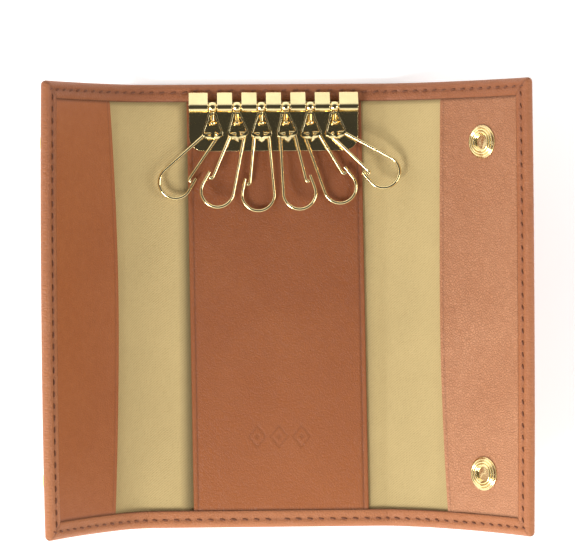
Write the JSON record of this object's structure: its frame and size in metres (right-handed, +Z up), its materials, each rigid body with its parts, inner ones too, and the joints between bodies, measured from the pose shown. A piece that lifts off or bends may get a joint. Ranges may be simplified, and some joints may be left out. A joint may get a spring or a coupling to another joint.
{
  "type": "key organiser",
  "caption": "Tri-fold leather key case with a folding key bar, swivel hangers, spring-wire key hooks with gates, and snap closures.",
  "frame": {"origin": "on the flat back of the centre panel, under the middle of the key bar and of the case height", "axes": "+X across the open case towards the flap with the snap sockets, +Y along the case towards the key bar, +Z up out of the flat back"},
  "size_m": [0.1197, 0.1106, 0.0303],
  "materials": {
    "outer_leather": "fine pebbled tan cowhide",
    "inner_leather": "smooth tan cowhide",
    "lining_cloth": "golden fine twill",
    "board": "bonded fibre board, hidden",
    "thread": "waxed polyester thread",
    "hidden_steel": "hidden zinc-plated steel",
    "gold_plate": "polished gold plate"
  },
  "bodies": {
    "centre_panel": {"outer_centre": "outer_leather", "lining_centre": "lining_cloth", "centre_patch": "inner_leather", "board_centre": "board", "stitching_centre": "thread", "key_bar": "gold_plate", "key_bar_rod": "gold_plate", "back_strip": "hidden_steel"},
    "left_fold": {"outer_left_fold": "outer_leather", "lining_left_fold": "lining_cloth"},
    "left_flap": {"outer_left_flap": "outer_leather", "lining_left_flap": "lining_cloth", "left_facing": "inner_leather", "board_left": "board", "stitching_left_flap": "thread", "snap_studs": "gold_plate", "stud_washers": "hidden_steel"},
    "right_fold": {"outer_right_fold": "outer_leather", "lining_right_fold": "lining_cloth"},
    "right_flap": {"outer_right_flap": "outer_leather", "lining_right_flap": "lining_cloth", "right_facing": "inner_leather", "board_right": "board", "stitching_right_flap": "thread", "snap_sockets": "gold_plate", "snap_caps": "gold_plate"},
    "hanger_1": {"swivel_eye_1": "gold_plate", "bell_1": "gold_plate"},
    "hook_1": {"hook_wire_1": "gold_plate"},
    "gate_1": {"gate_wire_1": "gold_plate"},
    "hanger_2": {"swivel_eye_2": "gold_plate", "bell_2": "gold_plate"},
    "hook_2": {"hook_wire_2": "gold_plate"},
    "gate_2": {"gate_wire_2": "gold_plate"},
    "hanger_3": {"swivel_eye_3": "gold_plate", "bell_3": "gold_plate"},
    "hook_3": {"hook_wire_3": "gold_plate"},
    "gate_3": {"gate_wire_3": "gold_plate"},
    "hanger_4": {"swivel_eye_4": "gold_plate", "bell_4": "gold_plate"},
    "hook_4": {"hook_wire_4": "gold_plate"},
    "gate_4": {"gate_wire_4": "gold_plate"},
    "hanger_5": {"swivel_eye_5": "gold_plate", "bell_5": "gold_plate"},
    "hook_5": {"hook_wire_5": "gold_plate"},
    "gate_5": {"gate_wire_5": "gold_plate"},
    "hanger_6": {"swivel_eye_6": "gold_plate", "bell_6": "gold_plate"},
    "hook_6": {"hook_wire_6": "gold_plate"},
    "gate_6": {"gate_wire_6": "gold_plate"}
  },
  "joints": [
    {"name": "left_fold_hinge", "type": "hinge", "parent": "centre_panel", "child": "left_fold", "pos_m": [-0.0255, 0, 0.0026], "axis": [0, 1, 0], "range_deg": [0, 90]},
    {"name": "left_flap_hinge", "type": "hinge", "parent": "left_fold", "child": "left_flap", "pos_m": [-0.03093, 0, 0.00277], "axis": [0, 1, 0], "range_deg": [0, 40]},
    {"name": "right_fold_hinge", "type": "hinge", "parent": "centre_panel", "child": "right_fold", "pos_m": [0.027, 0, 0.0026], "axis": [0, -1, 0], "range_deg": [0, 68]},
    {"name": "right_flap_hinge", "type": "hinge", "parent": "right_fold", "child": "right_flap", "pos_m": [0.03152, 0, 0.00414], "axis": [0, -1, 0], "range_deg": [0, 58]},
    {"name": "hanger_1_flip", "type": "hinge", "parent": "centre_panel", "child": "hanger_1", "pos_m": [-0.01515, 0.0495, 0.00445], "axis": [1, 0, 0], "range_deg": [-150, 0]},
    {"name": "hook_1_swing", "type": "hinge", "parent": "hanger_1", "child": "hook_1", "pos_m": [-0.0151, 0.04291, 0.00416], "axis": [0, -0.0436, 0.999], "range_deg": [0, 14]},
    {"name": "gate_1_flex", "type": "hinge", "parent": "hook_1", "child": "gate_1", "pos_m": [-0.01335, 0.04294, 0.00416], "axis": [0, 0.0436, -0.999], "range_deg": [0, 12], "stiffness_Nm_per_rad": 0.002},
    {"name": "hanger_2_flip", "type": "hinge", "parent": "centre_panel", "child": "hanger_2", "pos_m": [-0.00909, 0.0495, 0.00445], "axis": [1, 0, 0], "range_deg": [-150, 0]},
    {"name": "hook_2_swing", "type": "hinge", "parent": "hanger_2", "child": "hook_2", "pos_m": [-0.00886, 0.04293, 0.00497], "axis": [0, 0.0785, 0.9969], "range_deg": [-7, 7]},
    {"name": "gate_2_flex", "type": "hinge", "parent": "hook_2", "child": "gate_2", "pos_m": [-0.0106, 0.04278, 0.00498], "axis": [0, 0.0785, 0.9969], "range_deg": [0, 12], "stiffness_Nm_per_rad": 0.002},
    {"name": "hanger_3_flip", "type": "hinge", "parent": "centre_panel", "child": "hanger_3", "pos_m": [-0.00303, 0.0495, 0.00445], "axis": [1, 0, 0], "range_deg": [-150, 0]},
    {"name": "hook_3_swing", "type": "hinge", "parent": "hanger_3", "child": "hook_3", "pos_m": [-0.00298, 0.04291, 0.00416], "axis": [0, -0.0436, 0.999], "range_deg": [-7, 7]},
    {"name": "gate_3_flex", "type": "hinge", "parent": "hook_3", "child": "gate_3", "pos_m": [-0.00473, 0.04288, 0.00416], "axis": [0, -0.0436, 0.999], "range_deg": [0, 12], "stiffness_Nm_per_rad": 0.002},
    {"name": "hanger_4_flip", "type": "hinge", "parent": "centre_panel", "child": "hanger_4", "pos_m": [0.00303, 0.0495, 0.00445], "axis": [1, 0, 0], "range_deg": [-150, 0]},
    {"name": "hook_4_swing", "type": "hinge", "parent": "hanger_4", "child": "hook_4", "pos_m": [0.00336, 0.04294, 0.00497], "axis": [0, 0.0785, 0.9969], "range_deg": [-7, 7]},
    {"name": "gate_4_flex", "type": "hinge", "parent": "hook_4", "child": "gate_4", "pos_m": [0.0051, 0.04315, 0.00495], "axis": [0, -0.0785, -0.9969], "range_deg": [0, 12], "stiffness_Nm_per_rad": 0.002},
    {"name": "hanger_5_flip", "type": "hinge", "parent": "centre_panel", "child": "hanger_5", "pos_m": [0.00909, 0.0495, 0.00445], "axis": [1, 0, 0], "range_deg": [-150, 0]},
    {"name": "hook_5_swing", "type": "hinge", "parent": "hanger_5", "child": "hook_5", "pos_m": [0.00928, 0.04291, 0.00416], "axis": [0, -0.0436, 0.999], "range_deg": [-7, 6]},
    {"name": "gate_5_flex", "type": "hinge", "parent": "hook_5", "child": "gate_5", "pos_m": [0.01102, 0.04303, 0.00417], "axis": [0, 0.0436, -0.999], "range_deg": [0, 12], "stiffness_Nm_per_rad": 0.002},
    {"name": "hanger_6_flip", "type": "hinge", "parent": "centre_panel", "child": "hanger_6", "pos_m": [0.01515, 0.0495, 0.00445], "axis": [1, 0, 0], "range_deg": [-150, 0]},
    {"name": "hook_6_swing", "type": "hinge", "parent": "hanger_6", "child": "hook_6", "pos_m": [0.01543, 0.04294, 0.00497], "axis": [0, 0.0785, 0.9969], "range_deg": [-21, 0]},
    {"name": "gate_6_flex", "type": "hinge", "parent": "hook_6", "child": "gate_6", "pos_m": [0.01369, 0.04275, 0.00498], "axis": [0, 0.0785, 0.9969], "range_deg": [0, 12], "stiffness_Nm_per_rad": 0.002}
  ],
  "couplings": [
    {"joint": "hook_1_swing", "follows": "left_fold_hinge", "ratio": 0.15},
    {"joint": "hook_6_swing", "follows": "right_fold_hinge", "ratio": -0.3}
  ]
}
